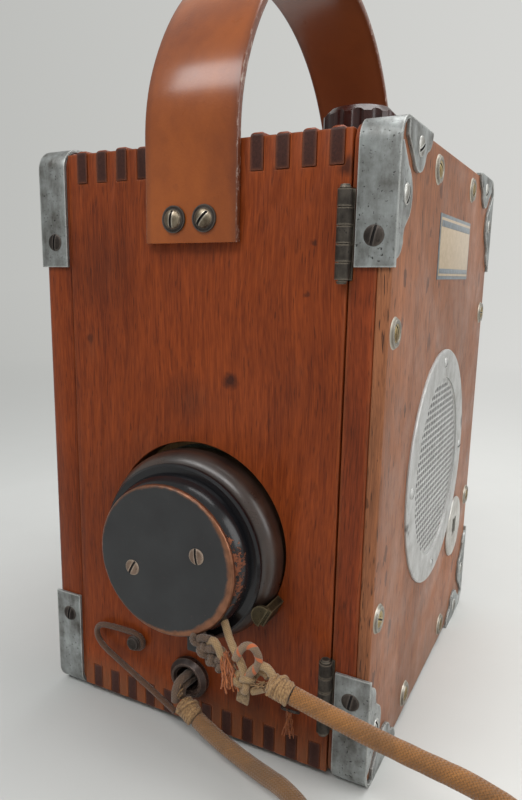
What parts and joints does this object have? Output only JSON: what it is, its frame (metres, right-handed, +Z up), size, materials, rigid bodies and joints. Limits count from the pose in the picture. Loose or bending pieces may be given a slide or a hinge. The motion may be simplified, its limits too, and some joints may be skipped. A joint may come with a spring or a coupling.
{
  "type": "line test telephone",
  "caption": "Wooden portable line test telephone: finger-jointed case with hinged front, leather strap, side receiver on a braided cord, round speaking grille and fluted switch knob.",
  "frame": {"origin": "middle of the footprint of case, receiver and strap screws, on the surface it stands on", "axes": "+Z up, the door faces -Y, the receiver and the hinges are on the -X side"},
  "size_m": [0.3094, 0.3001, 0.3175],
  "materials": {
    "case_wood": "mahogany stain, worn, low gloss",
    "door_wood": "mahogany stain, worn, low gloss",
    "inner_wood": "plain varnished board",
    "guard_metal": "dull galvanised, pitted",
    "dark_screws": "dull, dirt in the slots",
    "strap_leather": "tan, glossy, worn",
    "hinge_brass": "tarnished",
    "hard_rubber": "brown-black moulded rubber, soft sheen",
    "black_enamel": "gloss enamel, chipped",
    "worn_disc": "blackened copper, worn bright at the rim",
    "lug_brass": "worn",
    "bakelite": "dark brown",
    "grille_aluminium": "dull, scratched",
    "lock_steel": "dull plated",
    "ferrule_black": "worn black",
    "cord_braid": "braided cotton, tan to brown",
    "stay_braid": "brown braided cotton",
    "lead_braid": "beige cotton with orange tracer",
    "thread": "wound thread",
    "felt": "felt",
    "cell_card": "plain card sleeve",
    "coil_paper": "waxed wrapping",
    "can_metal": "dull",
    "ebonite": "black moulded",
    "wire_cover": "cotton-covered wire",
    "magnet_steel": "dark",
    "steel": "plain"
  },
  "bodies": {
    "case": {"side_board_left": "case_wood", "side_board_right": "case_wood", "top_board": "case_wood", "bottom_board": "case_wood", "back_panel": "case_wood", "back_corner_guards": "guard_metal", "back_guard_screws": "dark_screws", "handle_strap": "strap_leather", "strap_washers": "steel", "strap_screws": "steel", "receiver_seat": "inner_wood", "seat_pad": "felt", "cord_ferrule": "ferrule_black", "stay_screw": "dark_screws", "stay_cord": "stay_braid", "ferrule_leads": "lead_braid", "lower_cord_tie": "thread", "receiver_cord": "cord_braid", "thread_hook": "dark_screws", "hinge_leaves_case": "hinge_brass", "hinge_pins": "steel", "hinge_screws_case": "hinge_brass", "rotary_switch": "ebonite", "battery_cells": "cell_card", "chassis_board": "inner_wood", "induction_coil": "coil_paper", "condenser": "can_metal", "terminal_strip": "ebonite", "case_wiring": "wire_cover", "lock_strike": "steel"},
    "door": {"door_stiles": "door_wood", "door_rails": "door_wood", "door_panel": "door_wood", "door_corner_guards": "guard_metal", "door_guard_screws": "dark_screws", "cup_washers": "steel", "panel_screws": "dark_screws", "grille": "grille_aluminium", "grille_screws": "grille_aluminium", "transmitter_shell": "black_enamel", "transmitter_capsule": "can_metal", "door_wiring": "wire_cover", "lock_escutcheon": "lock_steel", "lock_case": "steel", "hinge_leaves_door": "hinge_brass", "hinge_screws_door": "hinge_brass"},
    "lock": {"lock_plug": "steel", "lock_cam": "steel"},
    "knob": {"knob": "bakelite", "knob_shaft": "steel"},
    "receiver": {"ear_cap": "hard_rubber", "receiver_shell": "black_enamel", "back_cap": "worn_disc", "back_cap_screws": "dark_screws", "diaphragm": "steel", "receiver_magnet": "magnet_steel", "terminal_block": "ebonite", "rim_lug": "lug_brass", "receiver_leads": "lead_braid", "upper_cord_tie": "thread"}
  },
  "joints": [
    {"name": "door_hinge", "type": "hinge", "parent": "case", "child": "door", "pos_m": [-0.0831, -0.05695, 0.11835], "axis": [0, 0, -1], "range_deg": [0, 90]},
    {"name": "lock_turn", "type": "hinge", "parent": "door", "child": "lock", "pos_m": [0.0589, -0.07255, 0.0594], "axis": [0, 1, 0], "range_deg": [0, 90]},
    {"name": "knob_turn", "type": "hinge", "parent": "case", "child": "knob", "pos_m": [0.0089, -0.02935, 0.2336], "axis": [0, 0, 1], "range_deg": [-60, 60]},
    {"name": "receiver_slide", "type": "slide", "parent": "case", "child": "receiver", "axis": [-1, 0, 0], "range_m": [0, 0.03]}
  ]
}
